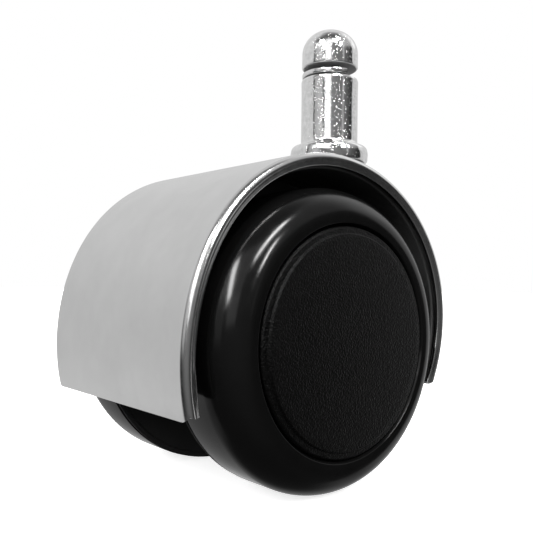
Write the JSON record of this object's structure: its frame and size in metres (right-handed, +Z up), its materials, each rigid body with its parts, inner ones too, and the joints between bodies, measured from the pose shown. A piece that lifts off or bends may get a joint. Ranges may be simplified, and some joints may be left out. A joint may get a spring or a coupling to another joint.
{
  "type": "chair caster wheel",
  "caption": "Hooded twin-wheel swivel caster: polished sheet hood over black wheels, with a plated grip-ring stem offset ahead of the axle.",
  "frame": {"origin": "on the swivel axis, at the top face of the stem's collar", "axes": "+Z up along the stem, +X the way the caster rolls (the wheels trail towards -X), +Y to the left along the axle"},
  "size_m": [0.0577, 0.048, 0.0827],
  "materials": {
    "plated_steel": "bright plated, faintly pitted",
    "clip_steel": "dark spring steel",
    "washer_steel": "plain zinc-plated",
    "axle_steel": "drawn rod",
    "bush_nylon": "natural nylon",
    "chromed_sheet": "polished chrome on pressed sheet",
    "black_plastic": "satin moulded",
    "core_plastic": "smooth moulded",
    "tread": "glossy soft polyurethane",
    "cap_plastic": "fine leather grain"
  },
  "bodies": {
    "stem": {"stem": "plated_steel", "stem_clip": "clip_steel", "thrust_washer": "washer_steel"},
    "grip_ring": {"grip_ring": "plated_steel"},
    "carriage": {"housing": "black_plastic", "hood": "chromed_sheet", "swivel_bush": "bush_nylon", "axle": "axle_steel", "spacer_washer_left": "bush_nylon", "axle_clip_left": "clip_steel", "spacer_washer_right": "bush_nylon", "axle_clip_right": "clip_steel"},
    "wheel_left": {"wheel_core_left": "core_plastic", "tyre_left": "tread", "wheel_cap_left": "cap_plastic", "hub_bush_left": "bush_nylon"},
    "wheel_right": {"wheel_core_right": "core_plastic", "tyre_right": "tread", "wheel_cap_right": "cap_plastic", "hub_bush_right": "bush_nylon"}
  },
  "joints": [
    {"name": "swivel", "type": "hinge", "parent": "stem", "child": "carriage", "pos_m": [0, 0, 0], "axis": [0, 0, 1], "continuous": true},
    {"name": "wheel_left_spin", "type": "hinge", "parent": "carriage", "child": "wheel_left", "pos_m": [-0.019, 0, -0.0358], "axis": [0, 1, 0], "continuous": true},
    {"name": "wheel_right_spin", "type": "hinge", "parent": "carriage", "child": "wheel_right", "pos_m": [-0.019, 0, -0.0358], "axis": [0, 1, 0], "continuous": true},
    {"name": "grip_ring_turn", "type": "hinge", "parent": "stem", "child": "grip_ring", "pos_m": [0, 0, 0.0139], "axis": [0, 0, 1], "continuous": true}
  ]
}
